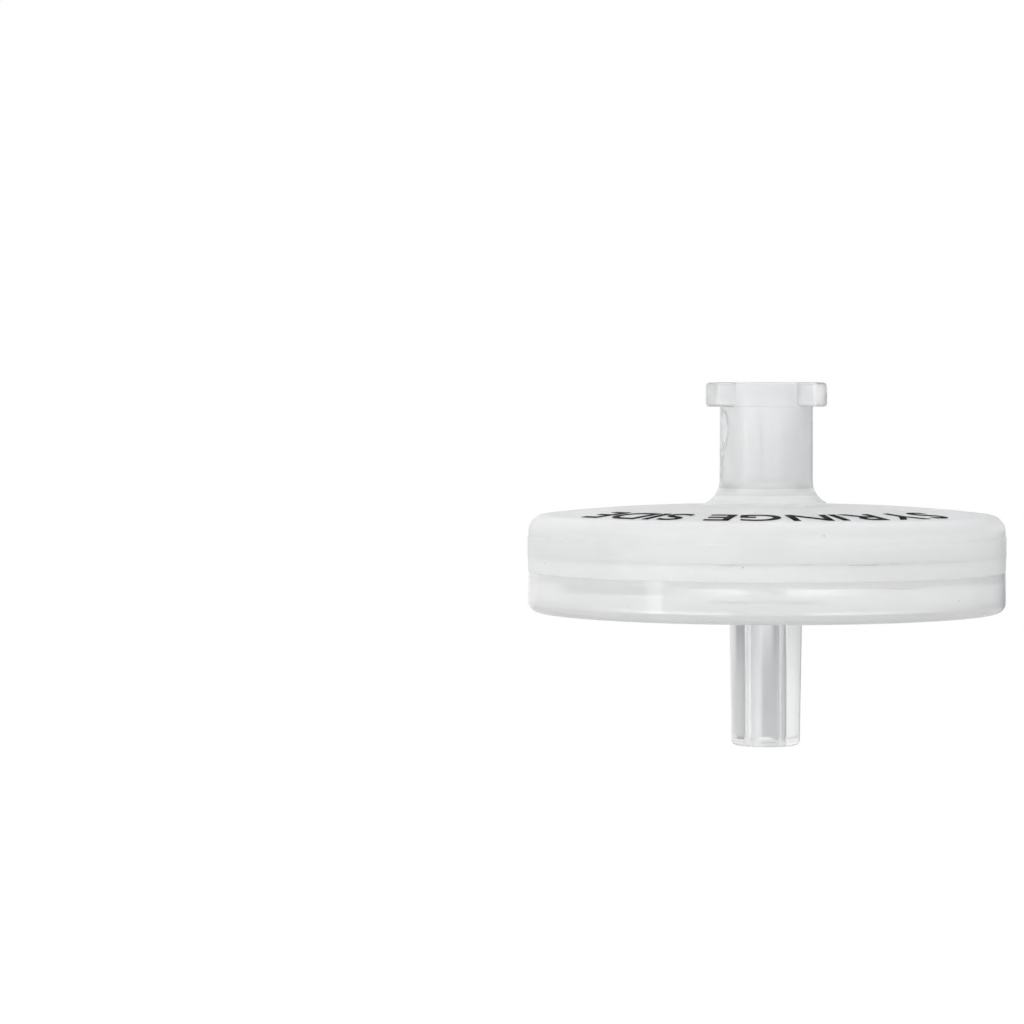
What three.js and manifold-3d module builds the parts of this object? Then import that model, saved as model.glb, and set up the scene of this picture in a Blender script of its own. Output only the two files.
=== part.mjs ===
// Disposable syringe filter for a 25 mm membrane, in millimetres, +Z up.
// Two welded mouldings clamp one membrane: the inlet half has the crowned face, the neck and the
// female Luer lock, the outlet half has the foot ring and the male Luer slip.
// The origin is the centre of the Luer-lock mouth, and everything else hangs below it.

import * as THREE from 'three';
import { mergeVertices } from 'three/addons/utils/BufferGeometryUtils.js';
import Module from 'manifold-3d';

const wasm = await Module();
wasm.setup();

// Round facets of every turned surface, and the steps of its rounded edges
const roundSegments = 48;
const cornerSteps = 5;
const crownSteps = 6;

// Rim and membrane, from which the disc's radius follows
const membraneRadius = 12.5;
const membraneThickness = 0.2;
const rimWidth = 2.2;
const discRadius = membraneRadius + rimWidth;

// Female Luer lock: 6 % taper on the diameter
const socketMouthRadius = 2.15;
const socketDepth = 7.0;
const socketTaper = 0.06;
const leadIn = 0.12;
const lugRadius = 3.73;
const lugWidth = 4.35;
const lugHeight = 1.5;
const lugEdgeRadius = 0.2;

// Neck between the lugs and the crowned face
const neckTopRadius = 2.85;
const neckBaseRadius = 2.87;
const neckHeight = 7.58;
const neckFilletRadius = 1.55;
const portRadius = 1.0;

// Inlet half of the disc
const crownRadius = 80;
const topCornerRadius = 1.0;
const inletPlateThickness = 2.82;
const inletChamberHeight = 1.0;
const pinchWidth = 0.8;

// Distribution ribs over the membrane: a centre pad, then rings
const inletRibHeight = 0.8;
const inletRibWidth = 0.36;
const inletRibPitch = 0.73;
const padRadius = 3.6;
const inletRibMargin = 3.05;

// Outlet half of the disc
const weldStep = 0.04;
const outletRimRise = 1.0;
const outletPlateThickness = 1.7;
const footHeight = 0.8;
const footWidth = 1.5;
const bottomCornerRadius = 0.6;

// Support ribs under the membrane
const drainDepth = 0.5;
const outletRibWidth = 0.5;
const outletRibPitch = 1.2;
const outletFirstRibRadius = 2.4;

// Radial channels through both sets of ribs
const channelCount = 8;
const channelWidth = 0.65;
const channelExtraDepth = 0.15;
const channelRunout = 0.2;

// Male Luer slip outlet
const outletBaseRadius = 2.25;
const outletTipRadius = 2.1;
const outletLength = 8.25;
const outletBoreRadius = 0.87;
const outletFilletRadius = 0.25;
const tipEdgeRadius = 0.28;

// Clearances round the membrane and the pinch ring inside the outlet half's recess
const membraneClearance = 0.1;
const pinchClearance = 0.1;

// Levels, worked down from the mouth
const faceLevel = -neckHeight;
const ceilingLevel = faceLevel - inletPlateThickness;
const membraneTop = ceilingLevel - inletChamberHeight;
const supportLevel = membraneTop - membraneThickness;
const weldLevel = supportLevel + outletRimRise;
const undersideLevel = supportLevel - outletPlateThickness;
const footLevel = undersideLevel - footHeight;
const tipLevel = footLevel - outletLength;
const recessRadius = membraneRadius + membraneClearance;
const pinchInnerRadius = membraneRadius - pinchWidth;

const milkyPlastic = { color: 0xe9edf1, roughness: 0.35, metalness: 0 };
const clearPlastic = { color: 0xd9dfe5, roughness: 0.18, metalness: 0 };
const whiteMembrane = { color: 0xf6f6f4, roughness: 0.9, metalness: 0 };

// Points of an arc in the profile plane, from one angle to another in degrees
function arc(centreR, centreZ, radius, fromDegrees, toDegrees, steps = cornerSteps) {
  const points = [];
  for (let step = 0; step <= steps; step += 1) {
    const angle = THREE.MathUtils.degToRad(fromDegrees + ((toDegrees - fromDegrees) * step) / steps);
    points.push([centreR + radius * Math.cos(angle), centreZ + radius * Math.sin(angle)]);
  }
  return points;
}

// Turns a profile of [radius, height] points round the Z axis. The points run clockwise, with the axis on
// the left: outwards over the top, down the outside. A profile off the axis closes on itself.
function turned(profile) {
  const onAxis = profile[0][0] === 0;
  const outline = onAxis ? profile : [...profile, profile[0]];
  const points = outline.map(([radius, height]) => new THREE.Vector2(radius, height)).reverse();
  const geometry = new THREE.LatheGeometry(points, roundSegments);
  geometry.rotateX(Math.PI / 2);
  return toSolid(geometry);
}

function toSolid(geometry) {
  const positionsOnly = new THREE.BufferGeometry();
  positionsOnly.setAttribute('position', geometry.getAttribute('position').clone());
  if (geometry.index) {
    positionsOnly.setIndex(geometry.index.clone());
  }
  const merged = mergeVertices(positionsOnly, 1e-5);
  const mesh = new wasm.Mesh({
    numProp: 3,
    vertProperties: new Float32Array(merged.getAttribute('position').array),
    triVerts: new Uint32Array(merged.index.array),
  });
  return new wasm.Manifold(mesh);
}

function toMesh(solid, name, finish) {
  const mesh = solid.getMesh();
  const geometry = new THREE.BufferGeometry();
  geometry.setAttribute('position', new THREE.BufferAttribute(mesh.vertProperties, mesh.numProp));
  geometry.setIndex(new THREE.BufferAttribute(mesh.triVerts, 1));
  geometry.computeVertexNormals();
  const piece = new THREE.Mesh(geometry, new THREE.MeshStandardMaterial(finish));
  piece.name = name;
  return piece;
}

// Radii [inner, outer] of the rings that fit between two radii
function ringRadii(firstRadius, lastRadius, pitch, width) {
  const rings = [];
  for (let inner = firstRadius; inner + width <= lastRadius; inner += pitch) {
    rings.push([inner, inner + width]);
  }
  return rings;
}

// Cuts the radial channels through the ribs between two levels
function cutChannels(solid, outerRadius, lowLevel, highLevel) {
  let result = solid;
  for (let index = 0; index < channelCount / 2; index += 1) {
    const bar = new THREE.BoxGeometry(2 * outerRadius, channelWidth, highLevel - lowLevel);
    bar.translate(0, 0, (lowLevel + highLevel) / 2);
    bar.rotateZ((index * 2 * Math.PI) / channelCount);
    result = result.subtract(toSolid(bar));
  }
  return result;
}

// Crowned face and rounded shoulder, from the foot of the neck fillet to the disc's wall
function faceProfile() {
  const crownStart = neckBaseRadius + neckFilletRadius;
  const crownReach = discRadius - topCornerRadius - crownStart;
  const tilt = Math.asin(crownReach / (crownRadius - topCornerRadius));
  const crownEnd = 90 - THREE.MathUtils.radToDeg(tilt);
  const shoulderLevel = faceLevel - crownRadius + (crownRadius - topCornerRadius) * Math.cos(tilt);
  return [
    ...arc(crownStart, faceLevel - crownRadius, crownRadius, 90, crownEnd, crownSteps),
    ...arc(discRadius - topCornerRadius, shoulderLevel, topCornerRadius, crownEnd, 0).slice(1),
  ];
}

function inletRibProfile() {
  const ribLevel = ceilingLevel - inletRibHeight;
  const firstRibRadius = padRadius + inletRibPitch - inletRibWidth;
  const fieldRadius = membraneRadius - inletRibMargin;
  const rings = ringRadii(firstRibRadius, fieldRadius, inletRibPitch, inletRibWidth);
  const points = [];
  for (const [inner, outer] of rings.reverse()) {
    points.push([outer, ceilingLevel], [outer, ribLevel], [inner, ribLevel], [inner, ceilingLevel]);
  }
  points.push([padRadius, ceilingLevel], [padRadius, ribLevel], [portRadius, ribLevel]);
  return points;
}

function socketBottomRadius() {
  return socketMouthRadius - (socketDepth * socketTaper) / 2;
}

// The two lugs as one bar across the mouth, with its rounded edges
function lugBar() {
  const halfWidth = lugWidth / 2 - lugEdgeRadius;
  const radius = lugRadius - lugEdgeRadius;
  const cornerAngle = Math.asin(halfWidth / radius);
  const outline = new THREE.Shape();
  outline.absarc(0, 0, radius, -cornerAngle, cornerAngle, false);
  outline.absarc(0, 0, radius, Math.PI - cornerAngle, Math.PI + cornerAngle, false);
  outline.closePath();
  const bar = new THREE.ExtrudeGeometry(outline, {
    depth: lugHeight - 2 * lugEdgeRadius,
    bevelThickness: lugEdgeRadius,
    bevelSize: lugEdgeRadius,
    bevelSegments: 2,
    curveSegments: 8,
  });
  bar.translate(0, 0, -lugHeight + lugEdgeRadius);
  return toSolid(bar);
}

// What the syringe tip goes into: the tapered socket and its lead-in, run on past the mouth
function socketCutter() {
  const past = 1;
  const leadInRadius = socketMouthRadius - (leadIn * socketTaper) / 2;
  return turned([
    [0, past],
    [socketMouthRadius + leadIn + past, past],
    [leadInRadius, -leadIn],
    [socketBottomRadius(), -socketDepth],
    [0, -socketDepth],
  ]);
}

function inletHousing() {
  const neckFilletCentre = faceLevel + neckFilletRadius;
  const profile = [
    [portRadius, 0],
    ...arc(neckTopRadius - lugEdgeRadius, -lugEdgeRadius, lugEdgeRadius, 90, 0, 2),
    ...arc(neckBaseRadius + neckFilletRadius, neckFilletCentre, neckFilletRadius, 180, 270).slice(0, -1),
    ...faceProfile(),
    [discRadius, weldLevel],
    [recessRadius - pinchClearance, weldLevel],
    [recessRadius - pinchClearance, membraneTop],
    [pinchInnerRadius, membraneTop],
    [pinchInnerRadius, ceilingLevel],
    ...inletRibProfile(),
  ];
  const body = turned(profile).add(lugBar()).subtract(socketCutter());
  const channelEnd = membraneRadius - inletRibMargin + channelRunout;
  const channelled = cutChannels(body, channelEnd, membraneTop, ceilingLevel + channelExtraDepth);
  return toMesh(channelled, 'inlet_housing', milkyPlastic);
}

function membrane() {
  const disc = turned([
    [0, membraneTop],
    [membraneRadius, membraneTop],
    [membraneRadius, supportLevel],
    [0, supportLevel],
  ]);
  return toMesh(disc, 'membrane', whiteMembrane);
}

function supportRibProfile() {
  const drainLevel = supportLevel - drainDepth;
  const rings = ringRadii(outletFirstRibRadius, pinchInnerRadius, outletRibPitch, outletRibWidth);
  const points = [];
  for (const [inner, outer] of rings) {
    points.push([inner, drainLevel], [inner, supportLevel], [outer, supportLevel], [outer, drainLevel]);
  }
  return points;
}

function outletHousing() {
  const drainLevel = supportLevel - drainDepth;
  const wallRadius = discRadius - weldStep;
  const tubeTop = undersideLevel - outletFilletRadius;
  const profile = [
    [outletBoreRadius, tipLevel],
    [outletBoreRadius, drainLevel],
    ...supportRibProfile(),
    [pinchInnerRadius, drainLevel],
    [pinchInnerRadius, supportLevel],
    [recessRadius, supportLevel],
    [recessRadius, weldLevel],
    [wallRadius, weldLevel],
    ...arc(wallRadius - bottomCornerRadius, footLevel + bottomCornerRadius, bottomCornerRadius, 0, -90),
    [wallRadius - footWidth, footLevel],
    [wallRadius - footWidth, undersideLevel],
    ...arc(outletBaseRadius + outletFilletRadius, tubeTop, outletFilletRadius, 90, 180, 2),
    ...arc(outletTipRadius - tipEdgeRadius, tipLevel + tipEdgeRadius, tipEdgeRadius, 0, -90, 3),
  ];
  const channelEnd = pinchInnerRadius - channelRunout;
  const channelled = cutChannels(turned(profile), channelEnd, drainLevel - channelExtraDepth, weldLevel);
  return toMesh(channelled, 'outlet_housing', clearPlastic);
}

const filter = new THREE.Group();
filter.name = 'syringe_filter';
filter.add(inletHousing());
filter.add(membrane());
filter.add(outletHousing());

export default filter;
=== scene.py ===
import math
import random

import bmesh
import bpy
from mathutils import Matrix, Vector


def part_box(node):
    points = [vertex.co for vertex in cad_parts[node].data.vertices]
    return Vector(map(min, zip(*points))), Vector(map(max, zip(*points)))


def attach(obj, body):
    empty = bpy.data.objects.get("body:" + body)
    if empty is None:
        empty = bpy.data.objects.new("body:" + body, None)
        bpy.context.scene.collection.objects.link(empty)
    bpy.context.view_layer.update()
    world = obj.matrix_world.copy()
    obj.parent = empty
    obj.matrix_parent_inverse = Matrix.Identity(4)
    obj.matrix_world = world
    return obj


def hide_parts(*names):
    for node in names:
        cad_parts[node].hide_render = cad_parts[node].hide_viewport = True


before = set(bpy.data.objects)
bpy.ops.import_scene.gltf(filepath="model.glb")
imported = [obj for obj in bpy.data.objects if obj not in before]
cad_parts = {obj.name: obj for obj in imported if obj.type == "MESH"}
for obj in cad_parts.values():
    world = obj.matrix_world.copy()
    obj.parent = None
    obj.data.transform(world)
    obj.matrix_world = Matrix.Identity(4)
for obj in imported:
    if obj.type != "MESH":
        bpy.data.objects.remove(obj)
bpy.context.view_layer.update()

mm = 0.001
inletLow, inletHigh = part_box("inlet_housing")
membraneLow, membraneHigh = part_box("membrane")
outletLow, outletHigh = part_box("outlet_housing")

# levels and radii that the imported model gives
mouthLevel = inletHigh.z
membraneTop = membraneHigh.z
supportLevel = membraneLow.z
weldLevel = outletHigh.z
tipLevel = outletLow.z
discRadius = inletHigh.x
wallRadius = outletHigh.x
membraneRadius = membraneHigh.x

roundSteps = 160          # edges round every turned surface
ringReach = 0.004 * mm    # how near a vertex has to be to count as on a ring
faceReach = 0.05 * mm     # how near a face's middle has to be to count as at a level or radius
mergeReach = 0.5e-6       # vertices nearer than this are one

cameraChoices = {
    "distance": 225 * mm,
    "eyeBelowMouth": 0.86 * mm,
    "lens": 128.1,
    "panDegrees": 3.99,   # aims left of the filter
    "tiltDegrees": 1.82,
    "nearest": 10 * mm,
    "farthest": 50,
}

studioChoices = {
    "floorDrop": 60 * mm,
    "floorSize": 0.8,
    "floorWhite": 0.74,
    "floorRoughness": 0.9,
    "floorGlow": 0.8,     # to the camera only, it lights nothing
    "backdropGlow": 1.0,
    # how bright the room is all round, by degrees from the camera's side, + to the right:
    # two rooms, and roomStep below says at which heights each one shows
    "lowRoom": [
        (-180, 0.34), (-176, 0.36), (-171, 0.97), (-125, 0.97), (-90, 0.78), (-45, 0.90), (0, 1.03), (45, 1.00),
        (90, 0.88), (112, 0.80), (117, 0.52), (147, 0.52), (156, 0.34), (180, 0.34),
    ],
    "highRoom": [
        (-180, 1.7), (-173, 1.7), (-165, 0.70), (-115, 0.70), (-90, 0.80), (-45, 0.90), (0, 1.03), (45, 1.00),
        (90, 0.88), (132, 0.80), (139, 0.20), (162, 0.20), (174, 1.7), (180, 1.7),
    ],
    # where the high room takes over from the low one (1), from straight down (-1) to straight up (1)
    "roomStep": [(-1.0, 0.0), (-0.050, 0.0), (-0.044, 1.0), (-0.020, 1.0), (-0.010, 0.0), (1.0, 0.0)],
    "shadeTint": (0.93, 0.98, 1.05),   # the dark side of the room is bluish
    "overhead": 1.0,
    # how far both give way to the light overhead, by the same heights
    "roomRise": [
        (-1.0, 0.3), (-0.5, 0.0), (0.004, 0.0), (0.015, 1.0), (0.04, 1.0), (0.12, 0.7), (0.3, 0.2), (0.7, 0.75),
        (1.0, 0.85),
    ],
    "softboxes": [
        # name, azimuth round the filter, elevation, distance, width, height, radiance
        ("keyBox", -48, 30, 0.60, 0.50, 0.30, 1.1),
        ("stripBox", -53.5, 6, 0.60, 0.085, 0.60, 1.8),
        ("frontBox", 8, 17, 0.60, 0.90, 0.10, 2.0),
        ("topBox", 150, 70, 0.70, 0.50, 0.50, 0.6),
    ],
}


# small tools

def deselectAll():
    if bpy.context.object and bpy.context.object.mode != "OBJECT":
        bpy.ops.object.mode_set(mode="OBJECT")
    bpy.ops.object.select_all(action="DESELECT")


def takeUp(piece):
    deselectAll()
    piece.select_set(True)
    bpy.context.view_layer.objects.active = piece


def applyModifier(piece, kind, settings):
    takeUp(piece)
    modifier = piece.modifiers.new(kind.lower(), kind)
    for key, value in settings.items():
        setattr(modifier, key, value)
    bpy.ops.object.modifier_apply(modifier=modifier.name)


def startTurning(name, radius, height, steps=roundSteps):
    deselectAll()
    bpy.ops.mesh.primitive_circle_add(vertices=steps, radius=radius, location=(0, 0, height))
    piece = bpy.context.object
    piece.name = name
    bpy.ops.object.transform_apply(location=True, rotation=True, scale=True)
    bpy.ops.object.mode_set(mode="EDIT")
    bpy.ops.mesh.select_all(action="SELECT")
    return piece


def turnRings(rings):
    # the selected ring is drawn out from each [radius, height] to the next
    for (fromRadius, fromHeight), (radius, height) in zip(rings, rings[1:]):
        growth = radius / fromRadius
        bpy.ops.mesh.extrude_region_move(TRANSFORM_OT_translate={"value": (0, 0, height - fromHeight)})
        bpy.ops.transform.resize(value=(growth, growth, 1), center_override=(0, 0, height))


def turnedShell(name, rings, steps=roundSteps):
    # a closed shell from a profile that comes back to its first ring
    piece = startTurning(name, rings[0][0], rings[0][1], steps)
    turnRings(rings + [rings[0]])
    bpy.ops.mesh.select_all(action="SELECT")
    bpy.ops.mesh.remove_doubles(threshold=mergeReach)
    bpy.ops.mesh.normals_make_consistent(inside=False)
    bpy.ops.object.mode_set(mode="OBJECT")
    return piece


def roundRings(piece, rings, width, segments):
    # rounds the edge loops that lie on the given [radius, height] rings
    takeUp(piece)
    bpy.ops.object.mode_set(mode="EDIT")
    bpy.ops.mesh.select_mode(type="EDGE")
    bpy.ops.mesh.select_all(action="DESELECT")
    shape = bmesh.from_edit_mesh(piece.data)

    def onRing(vertex):
        radius = math.hypot(vertex.co.x, vertex.co.y)
        return [
            index for index, (ringRadius, ringHeight) in enumerate(rings)
            if abs(radius - ringRadius) < ringReach and abs(vertex.co.z - ringHeight) < ringReach
        ]

    for edge in shape.edges:
        first, second = onRing(edge.verts[0]), onRing(edge.verts[1])
        edge.select_set(bool(first) and first == second)
    bmesh.update_edit_mesh(piece.data)
    bpy.ops.mesh.bevel(offset=width, offset_type="OFFSET", segments=segments, affect="EDGES", clamp_overlap=False)
    bpy.ops.object.mode_set(mode="OBJECT")


def carve(piece, tool, operation="DIFFERENCE"):
    applyModifier(piece, "BOOLEAN", {"operation": operation, "object": tool, "solver": "EXACT"})
    bpy.data.objects.remove(tool, do_unlink=True)


def smoothOver(piece, degrees=32):
    takeUp(piece)
    bpy.ops.object.shade_smooth_by_angle(angle=math.radians(degrees))
    # the long walls keep their own direction up to the rounded edges
    applyModifier(piece, "WEIGHTED_NORMAL", {"mode": "FACE_AREA", "weight": 100, "keep_sharp": True})


def settle(piece, slotName, materials, *nodes):
    piece.data.materials.clear()
    for material in materials:
        piece.data.materials.append(material)
    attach(piece, "root")
    if nodes:
        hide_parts(*nodes)


# camera, floor and lights

def makeCamera():
    data = bpy.data.cameras.new("viewCamera")
    data.lens = cameraChoices["lens"]
    data.clip_start = cameraChoices["nearest"]
    data.clip_end = cameraChoices["farthest"]
    camera = bpy.data.objects.new("viewCamera", data)
    bpy.context.collection.objects.link(camera)
    camera.location = (0, -cameraChoices["distance"], mouthLevel - cameraChoices["eyeBelowMouth"])
    camera.rotation_euler = (
        math.radians(90 - cameraChoices["tiltDegrees"]),
        0,
        math.radians(cameraChoices["panDegrees"]),
    )
    bpy.context.scene.camera = camera


def makeFloor():
    deselectAll()
    bpy.ops.mesh.primitive_plane_add(size=studioChoices["floorSize"], location=(0, 0, 0))
    floor = bpy.context.object
    floor.name = "studioFloor"
    floor.location.z = tipLevel - studioChoices["floorDrop"]
    material = bpy.data.materials.new("paleFloor")
    material.use_nodes = True
    shader = material.node_tree.nodes["Principled BSDF"]
    white = studioChoices["floorWhite"]
    shader.inputs["Base Color"].default_value = (white, white, white, 1)
    shader.inputs["Roughness"].default_value = studioChoices["floorRoughness"]
    path = material.node_tree.nodes.new("ShaderNodeLightPath")
    material.node_tree.links.new(path.outputs["Is Camera Ray"], shader.inputs["Emission Color"])
    shader.inputs["Emission Strength"].default_value = studioChoices["floorGlow"]
    floor.data.materials.append(material)


def glowRamp(nodes, links, source, reach, stops, tinted=False):
    # greys by place from -reach to reach, the darkest ones tinted if asked
    span = nodes.new("ShaderNodeMapRange")
    span.inputs["From Min"].default_value = -reach
    span.inputs["From Max"].default_value = reach
    ramp = nodes.new("ShaderNodeValToRGB")
    elements = ramp.color_ramp.elements
    while len(elements) < len(stops):
        elements.new(0.5)
    for element, (place, glowing) in zip(elements, stops):
        element.position = (place + 1) / 2
        tint = studioChoices["shadeTint"] if tinted and glowing < 0.5 else (1, 1, 1)
        element.color = (*(glowing * share for share in tint), 1)
    links.new(source, span.inputs["Value"])
    links.new(span.outputs["Result"], ramp.inputs["Fac"])
    return ramp.outputs["Color"]


def mixColours(nodes, links, share):
    mix = nodes.new("ShaderNodeMix")
    mix.data_type = "RGBA"
    links.new(share, mix.inputs[0])
    return mix


def makeSky():
    bpy.context.scene.view_settings.view_transform = "Standard"
    world = bpy.data.worlds.new("studioSky")
    bpy.context.scene.world = world
    world.use_nodes = True
    nodes, links = world.node_tree.nodes, world.node_tree.links
    nodes.clear()
    output = nodes.new("ShaderNodeOutputWorld")
    backdrop = nodes.new("ShaderNodeBackground")
    backdrop.inputs["Color"].default_value = (1, 1, 1, 1)
    backdrop.inputs["Strength"].default_value = studioChoices["backdropGlow"]
    glow = nodes.new("ShaderNodeBackground")
    direction = nodes.new("ShaderNodeTexCoord")
    axes = nodes.new("ShaderNodeSeparateXYZ")
    links.new(direction.outputs["Generated"], axes.inputs["Vector"])
    nearness = nodes.new("ShaderNodeMath")
    nearness.operation = "MULTIPLY"
    nearness.inputs[1].default_value = -1
    links.new(axes.outputs["Y"], nearness.inputs[0])
    turn = nodes.new("ShaderNodeMath")
    turn.operation = "ARCTAN2"
    links.new(axes.outputs["X"], turn.inputs[0])
    links.new(nearness.outputs["Value"], turn.inputs[1])
    low, high = (
        glowRamp(nodes, links, turn.outputs["Value"], math.pi, [
            (degrees / 180, glowing) for degrees, glowing in studioChoices[room]
        ], tinted=True)
        for room in ("lowRoom", "highRoom")
    )
    walls = mixColours(nodes, links, glowRamp(nodes, links, axes.outputs["Z"], 1, studioChoices["roomStep"]))
    links.new(low, walls.inputs[6])
    links.new(high, walls.inputs[7])
    whole = mixColours(nodes, links, glowRamp(nodes, links, axes.outputs["Z"], 1, studioChoices["roomRise"]))
    overhead = studioChoices["overhead"]
    links.new(walls.outputs[2], whole.inputs[6])
    whole.inputs[7].default_value = (overhead, overhead, overhead, 1)
    links.new(whole.outputs[2], glow.inputs["Color"])
    path = nodes.new("ShaderNodeLightPath")
    choose = nodes.new("ShaderNodeMixShader")
    links.new(path.outputs["Is Camera Ray"], choose.inputs["Fac"])
    links.new(glow.outputs["Background"], choose.inputs[1])
    links.new(backdrop.outputs["Background"], choose.inputs[2])
    links.new(choose.outputs["Shader"], output.inputs["Surface"])


def makeSoftboxes():
    for name, azimuth, elevation, distance, width, height, radiance in studioChoices["softboxes"]:
        data = bpy.data.lights.new(name, "AREA")
        data.shape = "RECTANGLE"
        data.size, data.size_y = width, height
        data.energy = radiance * math.pi * width * height
        lamp = bpy.data.objects.new(name, data)
        bpy.context.collection.objects.link(lamp)
        turn, lift = math.radians(azimuth), math.radians(elevation)
        towards = Vector((math.sin(turn) * math.cos(lift), -math.cos(turn) * math.cos(lift), math.sin(lift)))
        lamp.location = towards * distance
        lamp.rotation_euler = towards.to_track_quat("Z", "Y").to_euler()


makeCamera()
makeFloor()
makeSky()
makeSoftboxes()
print("camera, floor and lights made")


# inlet half: Luer lock, neck, crowned face, pinch ring and distribution ribs

inletChoices = {
    "socketMouthRadius": 2.15 * mm,
    "socketDepth": 7.0 * mm,
    "socketTaper": 0.06,
    "leadIn": 0.12 * mm,
    "lugRadius": 3.73 * mm,
    "lugWidth": 4.35 * mm,
    "lugHeight": 1.5 * mm,
    "lugEdge": 0.2 * mm,
    "neckTopRadius": 2.85 * mm,
    "neckBaseRadius": 2.87 * mm,
    "neckHeight": 7.58 * mm,
    "neckSupport": 0.1 * mm,       # a ring this far over the fillet keeps the neck's wall straight
    "collarStep": 0.03 * mm,       # the neck is this much thicker behind the lugs
    "collarDrop": 0.15 * mm,       # how far under the lugs its taper begins
    "neckFillet": 1.55 * mm,
    "fadeDrops": (0.48, 0.91, 1.38),   # mm under the neck where its wall gets milkier
    "crownRadius": 80 * mm,
    "crownFlat": 0.2 * mm,         # level stretch round the fillet
    "crownSteps": 9,
    "shoulderRadius": 1.0 * mm,
    "shoulderShare": 0.89,         # as much of the shoulder as is rounded off
    "partingStep": 0.05 * mm,      # the rim steps out by this at the mould's parting line
    "partingDrop": 1.85 * mm,      # under the foot of the neck
    "plateThickness": 2.82 * mm,
    "portRadius": 1.0 * mm,
    "pinchOuter": 12.5 * mm,
    "pinchWidth": 0.8 * mm,
    "ribHeight": 0.8 * mm,
    "ribWidth": 0.36 * mm,
    "ribPitch": 0.73 * mm,
    "ribCount": 8,
    "padRadius": 3.6 * mm,
    "channelCount": 8,
    "channelWidth": 0.65 * mm,
    "channelBite": 0.15 * mm,      # how far a channel is cut into the plate
    "plugDepth": 2.0 * mm,         # the tool that opens the lug bar, under and over the mouth
    "plugRise": 1.0 * mm,
    "plugHole": 0.01 * mm,
    "drillRadius": 1.0 * mm,
    "lugZone": 2.0 * mm,           # the lugs have their own finish down to here
}
recessRadius = 12.6 * mm  # of the round recess that both halves share
meltIn = 0.02 * mm        # how far the welded plastic of the two halves has run together
faceLevel = mouthLevel - inletChoices["neckHeight"]
fadeSteps = len(inletChoices["fadeDrops"]) - 1
ceilingLevel = faceLevel - inletChoices["plateThickness"]
crownStart = inletChoices["neckBaseRadius"] + inletChoices["neckFillet"]


def crownHeight(radius):
    reach = max(0.0, radius - crownStart)
    return faceLevel - inletChoices["crownRadius"] + math.sqrt(inletChoices["crownRadius"] ** 2 - reach ** 2)


def inletRings():
    choices = inletChoices
    socketBottom = choices["socketMouthRadius"] - choices["socketDepth"] * choices["socketTaper"] / 2
    ribLevel = ceilingLevel - choices["ribHeight"]
    pinchInner = choices["pinchOuter"] - choices["pinchWidth"]
    rings = [
        (choices["socketMouthRadius"], mouthLevel),
        (choices["neckTopRadius"] + choices["collarStep"], mouthLevel),
        (choices["neckTopRadius"] + choices["collarStep"], mouthLevel - choices["lugHeight"]),
        (choices["neckTopRadius"], mouthLevel - choices["lugHeight"] - choices["collarStep"]),
        (choices["neckTopRadius"], mouthLevel - choices["lugHeight"] - choices["collarDrop"]),
        (choices["neckBaseRadius"], faceLevel + choices["neckFillet"] + choices["neckSupport"]),
        (choices["neckBaseRadius"], faceLevel),
        (crownStart + choices["crownFlat"], faceLevel),
    ]
    shoulderEdge = discRadius - choices["partingStep"]
    crownReach = discRadius - choices["shoulderRadius"] - crownStart
    for step in range(1, choices["crownSteps"]):
        radius = crownStart + crownReach * step / (choices["crownSteps"] - 1)
        rings.append((radius, crownHeight(radius)))
    rings += [
        (shoulderEdge, crownHeight(discRadius)),
        (shoulderEdge, faceLevel - choices["partingDrop"]),
        (discRadius, faceLevel - choices["partingDrop"] - choices["partingStep"]),
        (discRadius, weldLevel - meltIn),
        (recessRadius + meltIn, weldLevel - meltIn),
        (recessRadius + meltIn, membraneTop),
        (pinchInner, membraneTop),
        (pinchInner, ceilingLevel),
    ]
    for index in reversed(range(choices["ribCount"])):
        inner = choices["padRadius"] + choices["ribPitch"] - choices["ribWidth"] + index * choices["ribPitch"]
        outer = inner + choices["ribWidth"]
        rings += [(outer, ceilingLevel), (outer, ribLevel), (inner, ribLevel), (inner, ceilingLevel)]
    rings += [
        (choices["padRadius"], ceilingLevel),
        (choices["padRadius"], ribLevel),
        (choices["portRadius"], ribLevel),
        (choices["portRadius"], mouthLevel - choices["socketDepth"]),
        (socketBottom, mouthLevel - choices["socketDepth"]),
    ]
    return rings


def makeLugs():
    choices = inletChoices
    deselectAll()
    middle = mouthLevel - choices["lugHeight"] / 2
    bpy.ops.mesh.primitive_cylinder_add(
        vertices=roundSteps, radius=choices["lugRadius"], depth=choices["lugHeight"], location=(0, 0, middle)
    )
    lugs = bpy.context.object
    bpy.ops.object.transform_apply(location=True, rotation=True, scale=True)
    bpy.ops.object.mode_set(mode="EDIT")
    for side in (1, -1):
        bpy.ops.mesh.select_all(action="SELECT")
        bpy.ops.mesh.bisect(
            plane_co=(0, side * choices["lugWidth"] / 2, 0),
            plane_no=(0, side, 0),
            use_fill=True,
            clear_outer=True,
        )
    bpy.ops.mesh.select_mode(type="EDGE")
    bpy.ops.mesh.select_all(action="DESELECT")
    shape = bmesh.from_edit_mesh(lugs.data)
    for edge in shape.edges:
        edge.select_set(edge.is_manifold and edge.calc_face_angle() > math.radians(20))
    bmesh.update_edit_mesh(lugs.data)
    bpy.ops.mesh.bevel(offset=choices["lugEdge"], segments=4, affect="EDGES")
    bpy.ops.object.mode_set(mode="OBJECT")
    return lugs


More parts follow.
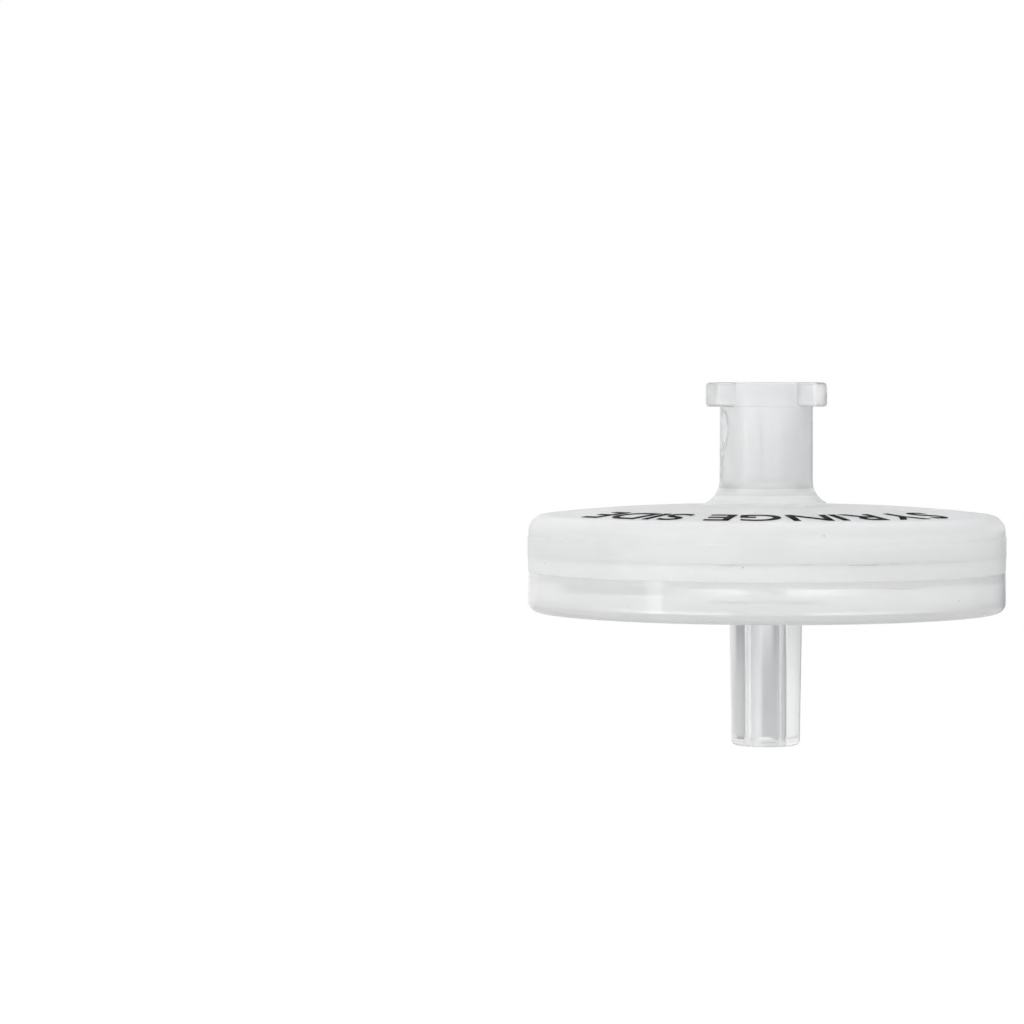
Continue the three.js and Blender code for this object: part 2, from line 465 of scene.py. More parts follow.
def cutChannels(piece, reach, lowLevel, highLevel, width, count):
    for index in range(count // 2):
        deselectAll()
        bpy.ops.mesh.primitive_cube_add(size=1, location=(0, 0, (lowLevel + highLevel) / 2))
        bar = bpy.context.object
        bar.scale = (2 * reach, width, highLevel - lowLevel)
        bar.rotation_euler.z = index * 2 * math.pi / count
        bpy.ops.object.transform_apply(location=True, rotation=True, scale=True)
        carve(piece, bar)


def makeDrill():
    # clears the axis, where the turned plug has no material
    choices = inletChoices
    deselectAll()
    bpy.ops.mesh.primitive_cylinder_add(
        vertices=16, radius=choices["drillRadius"], depth=4 * choices["lugHeight"], location=(0, 0, mouthLevel)
    )
    return bpy.context.object


def makeSocketPlug():
    # the space that a syringe tip fills, taken out of the lug bar
    choices = inletChoices
    depth, rise, hole = choices["plugDepth"], choices["plugRise"], choices["plugHole"]
    return turnedShell("socketPlug", [
        (choices["socketMouthRadius"] - depth * choices["socketTaper"] / 2, mouthLevel - depth),
        (choices["socketMouthRadius"] + rise * choices["socketTaper"] / 2, mouthLevel + rise),
        (hole, mouthLevel + rise),
        (hole, mouthLevel - depth),
    ])


def makeInletHousing():
    choices = inletChoices
    housing = turnedShell("inletMoulding", inletRings())
    roundRings(housing, [(choices["neckTopRadius"] + choices["collarStep"], mouthLevel)], choices["lugEdge"], 4)
    roundRings(housing, [(choices["socketMouthRadius"], mouthLevel)], choices["leadIn"], 2)
    roundRings(housing, [(choices["neckBaseRadius"], faceLevel)], choices["neckFillet"], 10)
    shoulder = (discRadius - choices["partingStep"], crownHeight(discRadius))
    roundRings(housing, [shoulder], choices["shoulderShare"] * choices["shoulderRadius"], 10)
    cutChannels(
        housing,
        choices["padRadius"] + (choices["ribCount"] + 0.3) * choices["ribPitch"],
        membraneTop,
        ceilingLevel + choices["channelBite"],
        choices["channelWidth"],
        choices["channelCount"],
    )
    lugs = makeLugs()
    carve(lugs, makeDrill())
    carve(lugs, makeSocketPlug())
    carve(housing, lugs, "UNION")
    smoothOver(housing)
    return housing


def dressInlet(housing):
    # material 0 is the plain plastic, 1 where it is melted into the outlet half, 2 the inside of the chamber,
    # 3 the lugs, 4 the neck, and from 5 on the neck's foot, milkier by steps as it thickens
    choices = inletChoices
    chamberEdge = choices["pinchOuter"] - choices["pinchWidth"] + faceReach
    chamberTop = ceilingLevel + choices["channelBite"] + faceReach
    neckEnd = faceLevel + choices["neckFillet"]
    for face in housing.data.polygons:
        radius, height = face.center.xy.length, face.center.z
        weld = face.normal.z < -0.9 and abs(height - weldLevel) < faceReach and radius < discRadius
        tongue = abs(radius - recessRadius) < faceReach and height < weldLevel
        chamber = height < chamberTop and radius < chamberEdge
        lug = radius > choices["neckTopRadius"] + faceReach and height > mouthLevel - choices["lugZone"]
        steps = sum(height < neckEnd - drop * mm for drop in choices["fadeDrops"])
        face.material_index = (
            1 if weld or tongue else 2 if chamber else 3 if lug else 0 if steps > fadeSteps else 4 + steps
        )


# membrane

membraneChoices = {
    "embossPitch": 1.2 * mm,
    "embossDepth": 0.012 * mm,
    "ringSteps": 44,
    "slack": 0.01 * mm,    # keeps its faces off the ribs
}


def makeMembrane():
    choices = membraneChoices
    top = membraneTop - choices["slack"]
    membrane = startTurning("membraneDisc", membraneRadius, top)
    steps = choices["ringSteps"]
    rings = [(membraneRadius, top)]
    for step in range(1, steps + 1):
        radius = membraneRadius * (1 - step / (steps + 1))
        sag = choices["embossDepth"] * (0.5 - 0.5 * math.cos(2 * math.pi * radius / choices["embossPitch"]))
        rings.append((radius, top - sag))
    turnRings(rings)
    bpy.ops.mesh.merge(type="CENTER")
    bpy.ops.mesh.select_all(action="DESELECT")
    bpy.ops.object.mode_set(mode="OBJECT")
    thickness = membraneTop - supportLevel - 3 * choices["slack"]
    applyModifier(membrane, "SOLIDIFY", {"thickness": thickness, "offset": -1.0})
    takeUp(membrane)
    bpy.ops.object.mode_set(mode="EDIT")
    bpy.ops.mesh.select_all(action="SELECT")
    bpy.ops.mesh.normals_make_consistent(inside=False)
    bpy.ops.object.mode_set(mode="OBJECT")
    smoothOver(membrane)
    return membrane


# outlet half: rim, support ribs, foot ring and Luer slip

outletChoices = {
    "weldGap": 0.006 * mm,     # its wall all but meets the inlet half's wall at the weld
    "ledgeWidth": 0.9 * mm,
    "plateThickness": 1.7 * mm,
    "drainDepth": 0.5 * mm,
    "ribWidth": 0.5 * mm,
    "ribPitch": 1.2 * mm,
    "firstRibRadius": 2.4 * mm,
    "ribCount": 8,
    "channelCount": 8,
    "channelWidth": 0.65 * mm,
    "footHeight": 0.8 * mm,
    "footWidth": 1.5 * mm,
    "footCorner": 0.6 * mm,
    "footInnerCorner": 0.15 * mm,
    "tubeBaseRadius": 2.25 * mm,
    "tubeTipRadius": 2.1 * mm,
    "tubeFillet": 0.25 * mm,
    "tubeSupport": 0.6 * mm,   # rings this far from the ends keep the tube's long wall straight
    "boreRadius": 0.87 * mm,
    "boreEdge": 0.1 * mm,
    "boreSupport": 0.3 * mm,   # and the same for the bore's
    "tipEdge": 0.28 * mm,
    "channelBite": 0.15 * mm,  # how far a channel is cut into the plate
    "rimSkin": 0.5 * mm,       # this much of the rim at its outer wall is not melted
}
undersideLevel = supportLevel - outletChoices["plateThickness"]
footLevel = undersideLevel - outletChoices["footHeight"]


def outletRings():
    choices = outletChoices
    drainLevel = supportLevel - choices["drainDepth"]
    ledgeInner = recessRadius - choices["ledgeWidth"]
    rings = [
        (choices["boreRadius"], tipLevel),
        (choices["boreRadius"], tipLevel + choices["boreSupport"]),
        (choices["boreRadius"], drainLevel - choices["boreSupport"]),
        (choices["boreRadius"], drainLevel),
    ]
    for index in range(choices["ribCount"]):
        inner = choices["firstRibRadius"] + index * choices["ribPitch"]
        outer = inner + choices["ribWidth"]
        rings += [(inner, drainLevel), (inner, supportLevel), (outer, supportLevel), (outer, drainLevel)]
    rings += [
        (ledgeInner, drainLevel),
        (ledgeInner, supportLevel),
        (recessRadius, supportLevel),
        (recessRadius, weldLevel),
        (discRadius - choices["weldGap"], weldLevel),
        (wallRadius, supportLevel),
        (wallRadius, footLevel),
        (wallRadius - choices["footWidth"], footLevel),
        (wallRadius - choices["footWidth"], undersideLevel),
        (choices["tubeBaseRadius"], undersideLevel),
    ]
    length = undersideLevel - tipLevel
    support = choices["tubeSupport"] / length
    for share in (support, 1 - support, 1.0):
        radius = choices["tubeBaseRadius"] + (choices["tubeTipRadius"] - choices["tubeBaseRadius"]) * share
        rings.append((radius, undersideLevel - length * share))
    return rings


def makeOutletHousing():
    choices = outletChoices
    housing = turnedShell("outletMoulding", outletRings())
    roundRings(housing, [(wallRadius, footLevel)], choices["footCorner"], 8)
    roundRings(housing, [(wallRadius - choices["footWidth"], footLevel)], choices["footInnerCorner"], 3)
    roundRings(housing, [(choices["tubeBaseRadius"], undersideLevel)], choices["tubeFillet"], 4)
    roundRings(housing, [(choices["tubeTipRadius"], tipLevel)], choices["tipEdge"], 6)
    roundRings(housing, [(choices["boreRadius"], tipLevel)], choices["boreEdge"], 1)
    drainLevel = supportLevel - choices["drainDepth"]
    cutChannels(
        housing,
        recessRadius - choices["ledgeWidth"] - 0.2 * mm,
        drainLevel - choices["channelBite"],
        weldLevel,
        choices["channelWidth"],
        choices["channelCount"],
    )
    smoothOver(housing)
    return housing


def dressOutlet(housing):
    # material 0 is the clear plastic, 1 the rim above the membrane, as milky as the inlet half from the heat of
    # welding, 2 where the two have melted together, 3 the support ribs and drains, 4 the tube, 5 the foot ring
    choices = outletChoices
    chamberEdge = recessRadius - choices["ledgeWidth"] + faceReach
    drainLow = supportLevel - choices["drainDepth"] - choices["channelBite"] - faceReach
    tubeEdge = choices["tubeBaseRadius"] + choices["tubeFillet"] + faceReach
    for face in housing.data.polygons:
        radius, height = face.center.xy.length, face.center.z
        rim = height > supportLevel and radius > recessRadius - 2 * faceReach
        fused = rim and (face.normal.z > 0.9 or radius < wallRadius - choices["rimSkin"])
        drains = radius < chamberEdge and height > drainLow
        tube = radius < tubeEdge and height < undersideLevel + faceReach
        foot = height < undersideLevel
        face.material_index = 2 if fused else 1 if rim else 3 if drains else 4 if tube else 5 if foot else 0


# ragged bead of plastic squeezed out of the weld

beadChoices = {
    "steps": 480,
    "radius": 14.68 * mm,      # just inside the wall
    "root": 0.12 * mm,         # how far it goes in from there
    "reach": 0.09 * mm,        # how far it swells out from there at most
    "height": 0.09 * mm,
    "raggedness": 0.45,
    "waviness": 0.35,          # up and down, as a share of half its height
    "endSink": 0.05 * mm,      # how far a lump's ends dip into the wall
    "brokenShare": 0.90,       # of its lumps that are missing
    "lumpDegrees": 3.0,
    "seed": 4118,
}


def makeWeldBead():
    choices = beadChoices
    chance = random.Random(choices["seed"])
    half = choices["height"] / 2
    inner = choices["radius"] - choices["root"]
    outer = choices["radius"] + 0.5 * choices["reach"]
    bead = turnedShell("weldBead", [
        (inner, weldLevel - half),
        (choices["radius"], weldLevel - half),
        (outer, weldLevel - 0.3 * half),
        (outer, weldLevel + 0.3 * half),
        (choices["radius"], weldLevel + half),
        (inner, weldLevel + half),
    ], choices["steps"])
    lumps = round(360 / choices["lumpDegrees"])
    missing = choices["brokenShare"]
    heights = [max(0.0, chance.random() - missing) / (1 - missing) for _ in range(lumps)]

    def swellAt(vertex):
        place = (math.degrees(math.atan2(vertex.co.y, vertex.co.x)) % 360) / choices["lumpDegrees"]
        first, between = int(place) % lumps, place - int(place)
        return heights[first] * (1 - between) + heights[(first + 1) % lumps] * between

    takeUp(bead)
    bpy.ops.object.mode_set(mode="EDIT")
    shape = bmesh.from_edit_mesh(bead.data)
    for vertex in shape.verts:
        radius = vertex.co.xy.length
        if radius < choices["radius"] - choices["root"] / 2:
            continue
        swell = swellAt(vertex)
        ragged = 1 + choices["raggedness"] * (2 * chance.random() - 1)
        out = choices["reach"] * swell * ragged - choices["endSink"] * (1 - min(1.0, 4 * swell))
        vertex.co.xy *= (radius + out - 0.4 * choices["reach"]) / radius
        vertex.co.z += choices["waviness"] * half * (2 * chance.random() - 1) * swell
    # where nothing is squeezed out there is no bead
    bare = [face for face in shape.faces if all(swellAt(vertex) < 0.01 for vertex in face.verts)]
    bmesh.ops.delete(shape, geom=bare, context="FACES")
    bmesh.ops.holes_fill(shape, edges=[edge for edge in shape.edges if edge.is_boundary], sides=0)
    bmesh.update_edit_mesh(bead.data)
    bpy.ops.object.mode_set(mode="OBJECT")
    smoothOver(bead, 60)
    return bead


# thin welt of moulding flash that runs down the neck from one lug

weltChoices = {
    # degrees round from the right, level under the mouth
    "path": [(186, 1.45), (204, 1.75), (213, 2.10), (216, 2.75), (212, 3.70), (201, 4.45), (195, 5.0)],
    "thickness": 0.09 * mm,
    "sink": 0.055 * mm,        # how deep its middle lies in the neck's wall
    "endThinness": 0.35,
}


def makeNeckWelt():
    choices = weltChoices
    deselectAll()
    bpy.ops.curve.primitive_nurbs_path_add()
    welt = bpy.context.object
    welt.name = "neckWelt"
    line = welt.data
    line.splines.clear()
    path = line.splines.new("NURBS")
    path.points.add(len(choices["path"]) - 1)
    top, base = inletChoices["neckTopRadius"], inletChoices["neckBaseRadius"]
    for index, (degrees, drop) in enumerate(choices["path"]):
        radius = top + (base - top) * drop * mm / inletChoices["neckHeight"] - choices["sink"]
        turn = math.radians(degrees)
        atEnd = index in (0, len(choices["path"]) - 1)
        path.points[index].co = (radius * math.cos(turn), radius * math.sin(turn), mouthLevel - drop * mm, 1)
        path.points[index].radius = choices["endThinness"] if atEnd else 1.0
    path.use_endpoint_u = True
    path.order_u = 4
    path.resolution_u = 10
    line.dimensions = "3D"
    line.bevel_depth = choices["thickness"]
    line.bevel_resolution = 2
    line.use_fill_caps = True
    bpy.ops.object.convert(target="MESH")
    welt = bpy.context.object
    bpy.ops.object.transform_apply(location=True, rotation=True, scale=True)
    bpy.ops.object.mode_set(mode="EDIT")
    bpy.ops.mesh.select_all(action="SELECT")
    bpy.ops.mesh.remove_doubles(threshold=mergeReach)
    bpy.ops.mesh.normals_make_consistent(inside=False)
    bpy.ops.object.mode_set(mode="OBJECT")
    smoothOver(welt, 60)
    return welt


# ring of print on the crowned face

printChoices = {
    "innerRadius": 10.85 * mm,
    "letterHeight": 2.7 * mm,
    "fatten": 0.035 * mm,      # added all round the built-in font's thin strokes
    "inkThickness": 0.02 * mm,
    "lift": 0.012 * mm,        # keeps the ink's underside off the face
    "nearText": "SYRINGE SIDE",
    "nearMiddleDegrees": -90,
    "farText": "25 mm",
    "farMiddleDegrees": 90,
    "letterGap": 0.18 * mm,    # both gaps are measured at the ring's inner edge
    "wordGap": 1.0 * mm,
    "dotRadius": 0.42 * mm,
    "dotDegrees": (50, 130),
}
capHeight = 0.729       # height of the built-in font's capitals, as a share of its size


def makeLetter(character):
    choices = printChoices
    deselectAll()
    bpy.ops.object.text_add(location=(0, 0, 0))
    letter = bpy.context.object
    letter.data.body = character
    letter.data.size = choices["letterHeight"] / capHeight
    letter.data.offset = choices["fatten"]
    letter.data.resolution_u = 6
    bpy.ops.object.convert(target="MESH")
    letter = bpy.context.object
    across = [vertex.co.x for vertex in letter.data.vertices]
    bpy.ops.transform.translate(value=(-(min(across) + max(across)) / 2, 0, 0))
    bpy.ops.object.transform_apply(location=True, rotation=True, scale=True)
    return letter, max(across) - min(across)


def placeLetter(letter, degrees, topsOut):
    choices = printChoices
    radius = choices["innerRadius"] if topsOut else -(choices["innerRadius"] + choices["letterHeight"])
    takeUp(letter)
    bpy.ops.transform.translate(value=(0, radius, 0))
    bpy.ops.object.transform_apply(location=True, rotation=True, scale=True)
    letter.rotation_euler.z = math.radians(degrees - 90 if topsOut else degrees + 90)
    bpy.ops.object.transform_apply(location=True, rotation=True, scale=True)


def makeDot(degrees):
    choices = printChoices
    deselectAll()
    radius = choices["innerRadius"] + choices["letterHeight"] / 2
    turn = math.radians(degrees)
    bpy.ops.mesh.primitive_circle_add(
        vertices=32, radius=choices["dotRadius"], fill_type="NGON",
        location=(radius * math.cos(turn), radius * math.sin(turn), 0),
    )
    bpy.ops.object.transform_apply(location=True, rotation=True, scale=True)
    return bpy.context.object


def makeWords(words, middleDegrees, topsOut):
    # every letter takes its own width of the ring's inner edge
    choices = printChoices
    letters, middles, reach = [], [], 0.0
    for character in words:
        if character == " ":
            reach += choices["wordGap"] - choices["letterGap"]
            continue
        letter, width = makeLetter(character)
        letters.append(letter)
        middles.append(reach + width / 2)
        reach += width + choices["letterGap"]
    half = (reach - choices["letterGap"]) / 2
    onward = -1 if topsOut else 1
    for letter, middle in zip(letters, middles):
        turn = onward * math.degrees((middle - half) / choices["innerRadius"])
        placeLetter(letter, middleDegrees + turn, topsOut)
    return letters


def makePrint(face):
    choices = printChoices
    marks = makeWords(choices["nearText"], choices["nearMiddleDegrees"], True)
    marks += makeWords(choices["farText"], choices["farMiddleDegrees"], False)
    marks += [makeDot(degrees) for degrees in choices["dotDegrees"]]
    deselectAll()
    for mark in marks:
        mark.select_set(True)
    bpy.context.view_layer.objects.active = marks[0]
    bpy.ops.object.join()
    ink = bpy.context.object
    ink.name = "ringPrint"
    takeUp(ink)
    bpy.ops.object.mode_set(mode="EDIT")
    bpy.ops.mesh.select_all(action="SELECT")
    bpy.ops.mesh.remove_doubles(threshold=0.2e-6)
    bpy.ops.object.mode_set(mode="OBJECT")
    applyModifier(ink, "SHRINKWRAP", {
        "target": face,
        "wrap_method": "PROJECT",
        "use_project_z": True,
        "use_negative_direction": True,
        "use_positive_direction": False,
        "offset": choices["lift"],
    })
    applyModifier(ink, "SOLIDIFY", {"thickness": choices["inkThickness"], "offset": 1.0})
    return ink


# materials

def newGroup(name, inputs, outputs):
    group = bpy.data.node_groups.new(name, "ShaderNodeTree")
    for socketName, kind, value in inputs:
        socket = group.interface.new_socket(name=socketName, in_out="INPUT", socket_type=kind)
        if value is not None:
            socket.default_value = value
    for socketName, kind in outputs:
        group.interface.new_socket(name=socketName, in_out="OUTPUT", socket_type=kind)
    return group, group.nodes.new("NodeGroupInput"), group.nodes.new("NodeGroupOutput")


def fill(node, values):
    for name, value in values.items():
        node.inputs[name].default_value = value


def addNoise(tree, vector, scale, detail, roughness=0.5):
    noise = tree.nodes.new("ShaderNodeTexNoise")
    fill(noise, {"Scale": scale, "Detail": detail, "Roughness": roughness})
    tree.links.new(vector, noise.inputs["Vector"])
    return noise


def addMath(tree, operation, first, second):
    node = tree.nodes.new("ShaderNodeMath")
    node.operation = operation
    for socket, value in zip(node.inputs, (first, second)):
        if isinstance(value, (int, float)):
            socket.default_value = value
        else:
            tree.links.new(value, socket)
    return node.outputs["Value"]


def addTones(tree, shader, share, first, second):
    tone = mixColours(tree.nodes, tree.links, share)
    fill(tone, {6: (*first, 1), 7: (*second, 1)})
    tree.links.new(tone.outputs[2], shader.inputs["Base Color"])


def addRoughness(tree, shader, pattern, choices):
    varied = addMath(tree, "MULTIPLY", pattern, choices["spread"])
    tree.links.new(addMath(tree, "ADD", varied, choices["roughness"]), shader.inputs["Roughness"])


def addBump(tree, shader, height, strength, depth):
    bump = tree.nodes.new("ShaderNodeBump")
    fill(bump, {"Strength": strength, "Distance": depth})
    tree.links.new(height, bump.inputs["Height"])
    tree.links.new(bump.outputs["Normal"], shader.inputs["Normal"])


# all scales are in cells to the metre
textureChoices = {
    "fineGrain": 9000,
    "broadGrain": 900,
    "grainPatches": 260,
    "broadShare": 3.0,          # how much taller the broad grain is than the fine one
    "clouds": 420,
    "cloudFrom": 0.35,
    "cloudTo": 0.75,
    "speckCells": 1500,
    "speckSize": 0.055,         # as a share of a cell
    "haze": 700,
}


def makeMouldGrain():
    # the fine texture that the mould leaves: a roughness that varies, and a height for bump
    group, given, made = newGroup(
        "mouldGrain",
        [
            ("Vector", "NodeSocketVector", None),
            ("Roughness", "NodeSocketFloat", 0.2),
            ("Spread", "NodeSocketFloat", 0.05),
        ],
        [("Roughness", "NodeSocketFloat"), ("Height", "NodeSocketFloat")],
    )
    choices, place = textureChoices, given.outputs["Vector"]
    fine = addNoise(group, place, choices["fineGrain"], 2)
    broad = addNoise(group, place, choices["broadGrain"], 3)
    patches = addNoise(group, place, choices["grainPatches"], 2)
    both = addMath(group, "ADD", fine.outputs["Fac"], broad.outputs["Fac"])
    # three noises of 0.5 on average swing about 1.5
    swing = addMath(group, "SUBTRACT", addMath(group, "ADD", both, patches.outputs["Fac"]), 1.5)
    change = addMath(group, "MULTIPLY", swing, given.outputs["Spread"])
    group.links.new(addMath(group, "ADD", given.outputs["Roughness"], change), made.inputs["Roughness"])
    tall = addMath(group, "MULTIPLY", broad.outputs["Fac"], choices["broadShare"])
    group.links.new(addMath(group, "ADD", fine.outputs["Fac"], tall), made.inputs["Height"])
    return group


def makeMilkClouds():
    # soft clouds in the plastic, with a few dark specks
    group, given, made = newGroup(
        "milkClouds",
        [
            ("Vector", "NodeSocketVector", None),
            ("Clear", "NodeSocketColor", (0.97, 0.975, 0.98, 1)),
            ("Cloudy", "NodeSocketColor", (0.93, 0.94, 0.95, 1)),
            ("Speck", "NodeSocketColor", (0.25, 0.22, 0.20, 1)),
            ("Specks", "NodeSocketFloat", 0.04),
        ],
        [("Color", "NodeSocketColor")],
    )
    choices, place = textureChoices, given.outputs["Vector"]
    clouds = addNoise(group, place, choices["clouds"], 4, 0.6)
    curve = group.nodes.new("ShaderNodeMapRange")
    curve.interpolation_type = "SMOOTHSTEP"
    fill(curve, {"From Min": choices["cloudFrom"], "From Max": choices["cloudTo"]})
    group.links.new(clouds.outputs["Fac"], curve.inputs["Value"])
    tone = mixColours(group.nodes, group.links, curve.outputs["Result"])
    group.links.new(given.outputs["Clear"], tone.inputs[6])
    group.links.new(given.outputs["Cloudy"], tone.inputs[7])
    # one cell in every few holds a speck, well under a tenth of a millimetre across
    cells = group.nodes.new("ShaderNodeTexVoronoi")
    fill(cells, {"Scale": choices["speckCells"]})
    group.links.new(place, cells.inputs["Vector"])
    near = addMath(group, "LESS_THAN", cells.outputs["Distance"], choices["speckSize"])
    parts = group.nodes.new("ShaderNodeSeparateColor")
    group.links.new(cells.outputs["Color"], parts.inputs["Color"])
    chosen = addMath(group, "LESS_THAN", parts.outputs["Red"], given.outputs["Specks"])
    spotted = mixColours(group.nodes, group.links, addMath(group, "MULTIPLY", near, chosen))
    group.links.new(tone.outputs[2], spotted.inputs[6])
    group.links.new(given.outputs["Speck"], spotted.inputs[7])
    group.links.new(spotted.outputs[2], made.inputs["Color"])
    return group


mouldGrain = makeMouldGrain()
milkClouds = makeMilkClouds()

# how each finish of the plastic differs: clear is how much light goes through, milky how much of the rest is
# scattered inside, spread how far the roughness varies, specks the share of cells that hold one; where a finish
# gives a shade, that is painted shade, a factor that darkens its colour
plasticChoices = {
    "milkyPlastic": {"clear": 0.44, "milky": 0.3, "roughness": 0.33, "spread": 0.06, "cloud": 0.035, "specks": 0.05},
    "weldPlastic": {"clear": 0.38, "milky": 0.3, "roughness": 0.33, "spread": 0.06, "cloud": 0.05, "specks": 0.04},
    "lugPlastic": {
        "clear": 0.72, "milky": 0.3, "roughness": 0.14, "spread": 0.05, "cloud": 0.03, "specks": 0.04, "grain": 0.15,
        # painted shade: the lugs' colour is darkened a little to stand for shade
        "paintedShade": 0.96,
    },
    "neckPlastic": {
        "clear": 0.63, "milky": 0.3, "roughness": 0.13, "spread": 0.04, "cloud": 0.03, "specks": 0.05, "grain": 0.1,
        "drawn": 0.12,
    },
    "clearPlastic": {
        "clear": 0.5, "milky": 0.3, "roughness": 0.07, "spread": 0.03, "cloud": 0.02, "specks": 0.03, "coat": 0.3,
        "grain": 0.06,
    },
    "footPlastic": {
        "clear": 0.35, "milky": 0.3, "roughness": 0.12, "spread": 0.04, "cloud": 0.02, "specks": 0.03, "coat": 0.2,
        # painted shade: the foot ring's colour is darkened so the bottom strip looks shaded
        "paintedShade": 0.77, "grain": 0.06,
    },
    "tubePlastic": {
        "clear": 0.83, "milky": 0.0, "roughness": 0.08, "spread": 0.03, "cloud": 0.015, "specks": 0.02, "coat": 0.2,
        "grain": 0.03, "drawn": 0.08,
    },
    "chamberPlastic": {"clear": 0.0, "milky": 0.0, "roughness": 0.4, "spread": 0.1, "cloud": 0.01, "specks": 0.0},
    "flashPlastic": {"clear": 0.3, "milky": 0.3, "roughness": 0.36, "spread": 0.08, "cloud": 0.06, "specks": 0.0},
}
# the foot of the neck goes by steps from the neck's finish towards this one
fadeEnd = {"clear": 0.32, "milky": 0.3, "roughness": 0.25, "spread": 0.03, "cloud": 0.03, "specks": 0.05, "grain": 0.2}
for step in range(1, fadeSteps + 1):
    milkyShare = step / (fadeSteps + 1)
    plasticChoices[f"fadePlastic{step}"] = {
        key: plasticChoices["neckPlastic"][key] * (1 - milkyShare) + value * milkyShare
        for key, value in fadeEnd.items()
    }
plasticColour = (0.97, 0.975, 0.98)
chamberColour = (0.99, 0.992, 0.995)
plasticIor = 1.49
milkyReach = 2 * mm         # how far light scatters in the plastic
coatRoughness = 0.02
plainGrain = 0.35           # for a finish that names no grain of its own
grainDepth = 0.004 * mm


def objectPlace(material, drawn=1.0):
    # object coordinates, stretched along the axis where the plastic was drawn off a core
    nodes, links = material.node_tree.nodes, material.node_tree.links
    place = nodes.new("ShaderNodeTexCoord")
    if drawn == 1.0:
        return place.outputs["Object"]
    stretch = nodes.new("ShaderNodeMapping")
    stretch.inputs["Scale"].default_value = (1, 1, drawn)
    links.new(place.outputs["Object"], stretch.inputs["Vector"])
    return stretch.outputs["Vector"]


def newMaterial(name):
    material = bpy.data.materials.new(name)
    material.use_nodes = True
    return material, material.node_tree.nodes["Principled BSDF"]


def plasticFinish(name):
    choices = plasticChoices[name]
    material, shader = newMaterial(name)
    nodes, links = material.node_tree.nodes, material.node_tree.links
    colour = chamberColour if name == "chamberPlastic" else plasticColour
    # painted shade: the lug and foot-ring finishes have their colour darkened to stand for shade the lamps do not give
    colour = [share * choices.get("paintedShade", 1.0) for share in colour]
    fill(shader, {
        "IOR": plasticIor,
        "Transmission Weight": choices["clear"],
        "Subsurface Weight": choices["milky"],
        "Subsurface Radius": (1, 1, 1),
        "Subsurface Scale": milkyReach,
        "Coat Weight": choices.get("coat", 0.0),
        "Coat Roughness": coatRoughness,
    })
    clouds = nodes.new("ShaderNodeGroup")
    clouds.node_tree = milkClouds
    links.new(objectPlace(material), clouds.inputs["Vector"])
    fill(clouds, {
        "Clear": (*(min(1.0, share + choices["cloud"] / 3) for share in colour), 1),
        "Cloudy": (*(share - choices["cloud"] * 2 / 3 for share in colour), 1),
        "Specks": choices["specks"],
    })
    links.new(clouds.outputs["Color"], shader.inputs["Base Color"])
    grain = nodes.new("ShaderNodeGroup")
    grain.node_tree = mouldGrain
    links.new(objectPlace(material, choices.get("drawn", 1.0)), grain.inputs["Vector"])
    fill(grain, {"Roughness": choices["roughness"], "Spread": choices["spread"]})
    links.new(grain.outputs["Roughness"], shader.inputs["Roughness"])
    addBump(material.node_tree, shader, grain.outputs["Height"], choices.get("grain", plainGrain), grainDepth)
    return material


def meltedFinish():
    # where the two halves have run together there is no surface left to see, only a trace of haze
    material, shader = newMaterial("meltedPlastic")
    tree = material.node_tree
    fill(shader, {"IOR": 1.0, "Transmission Weight": 1.0, "Roughness": 0.0})
    haze = addNoise(tree, objectPlace(material), textureChoices["haze"], 3)
    addTones(tree, shader, haze.outputs["Fac"], (1, 1, 1), (0.96, 0.965, 0.97))
    return material


membraneFinishChoices = {
    "scatterReach": 0.5 * mm,
    "fibres": 16000,
    "pores": 24000,
    "pale": (0.97, 0.97, 0.96),
    "dull": (0.91, 0.91, 0.89),
    "roughness": 0.68,
    "spread": 0.25,
    "grain": 0.6,
    "grainDepth": 0.006 * mm,
}


def membraneFinish():
    choices = membraneFinishChoices
    material, shader = newMaterial("membraneWhite")
    tree = material.node_tree
    place = objectPlace(material)
    fill(shader, {
        "Subsurface Weight": 1.0,
        "Subsurface Radius": (1, 1, 1),
        "Subsurface Scale": choices["scatterReach"],
    })
    fibres = addNoise(tree, place, choices["fibres"], 4, 0.7)
    pores = tree.nodes.new("ShaderNodeTexVoronoi")
    fill(pores, {"Scale": choices["pores"]})
    tree.links.new(place, pores.inputs["Vector"])
    addTones(tree, shader, fibres.outputs["Fac"], choices["pale"], choices["dull"])
    addRoughness(tree, shader, fibres.outputs["Fac"], choices)
    height = addMath(tree, "ADD", fibres.outputs["Fac"], pores.outputs["Distance"])
    addBump(tree, shader, height, choices["grain"], choices["grainDepth"])
    return material


inkChoices = {
    "specular": 0.1,
    "thinPatches": 3500,
    "thinFrom": 0.45,
    "thinTo": 0.8,
    "full": (0.006, 0.006, 0.007),
    "thin": (0.035, 0.036, 0.04),
    "roughness": 0.65,
    "spread": 0.3,
    "grain": 0.4,
    "grainDepth": 0.003 * mm,
}


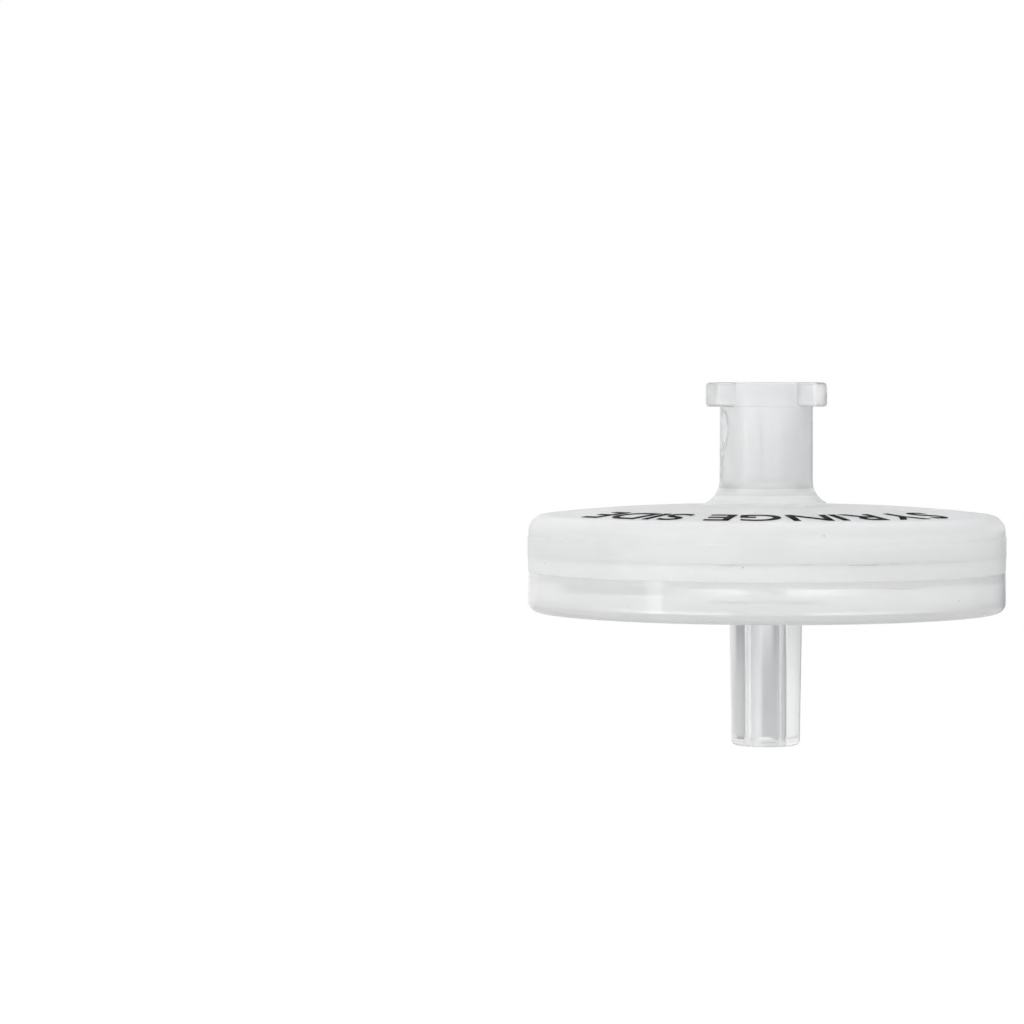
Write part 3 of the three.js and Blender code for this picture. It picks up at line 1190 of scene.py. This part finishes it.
def inkFinish():
    # pad-printed ink, a little thin in places
    choices = inkChoices
    material, shader = newMaterial("blackInk")
    tree = material.node_tree
    fill(shader, {"Specular IOR Level": choices["specular"]})
    thin = addNoise(tree, objectPlace(material), choices["thinPatches"], 4, 0.65)
    curve = tree.nodes.new("ShaderNodeMapRange")
    fill(curve, {"From Min": choices["thinFrom"], "From Max": choices["thinTo"]})
    tree.links.new(thin.outputs["Fac"], curve.inputs["Value"])
    addTones(tree, shader, curve.outputs["Result"], choices["full"], choices["thin"])
    addRoughness(tree, shader, thin.outputs["Fac"], choices)
    addBump(tree, shader, thin.outputs["Fac"], choices["grain"], choices["grainDepth"])
    return material


finishes = {name: plasticFinish(name) for name in plasticChoices}
meltedPlastic = meltedFinish()
membraneWhite = membraneFinish()
blackInk = inkFinish()
print("materials made")


inletHousing = makeInletHousing()
settle(inletHousing, "inlet_housing", [
    finishes["milkyPlastic"],
    meltedPlastic,
    finishes["chamberPlastic"],
    finishes["lugPlastic"],
    finishes["neckPlastic"],
    *(finishes[f"fadePlastic{step}"] for step in range(1, fadeSteps + 1)),
], "inlet_housing")
dressInlet(inletHousing)
print("inlet half made", len(inletHousing.data.polygons))

membraneDisc = makeMembrane()
settle(membraneDisc, "membrane", [membraneWhite], "membrane")
print("membrane made", len(membraneDisc.data.polygons))

outletHousing = makeOutletHousing()
settle(outletHousing, "outlet_housing", [
    finishes["clearPlastic"],
    finishes["weldPlastic"],
    meltedPlastic,
    finishes["chamberPlastic"],
    finishes["tubePlastic"],
    finishes["footPlastic"],
], "outlet_housing")
dressOutlet(outletHousing)
print("outlet half made", len(outletHousing.data.polygons))

weldBead = makeWeldBead()
settle(weldBead, "outlet_housing", [finishes["flashPlastic"]])
print("weld bead made", len(weldBead.data.polygons))

neckWelt = makeNeckWelt()
settle(neckWelt, "inlet_housing", [finishes["flashPlastic"]])
print("neck welt made", len(neckWelt.data.polygons))

ringPrint = makePrint(inletHousing)
settle(ringPrint, "print", [blackInk])
print("print made", len(ringPrint.data.polygons))
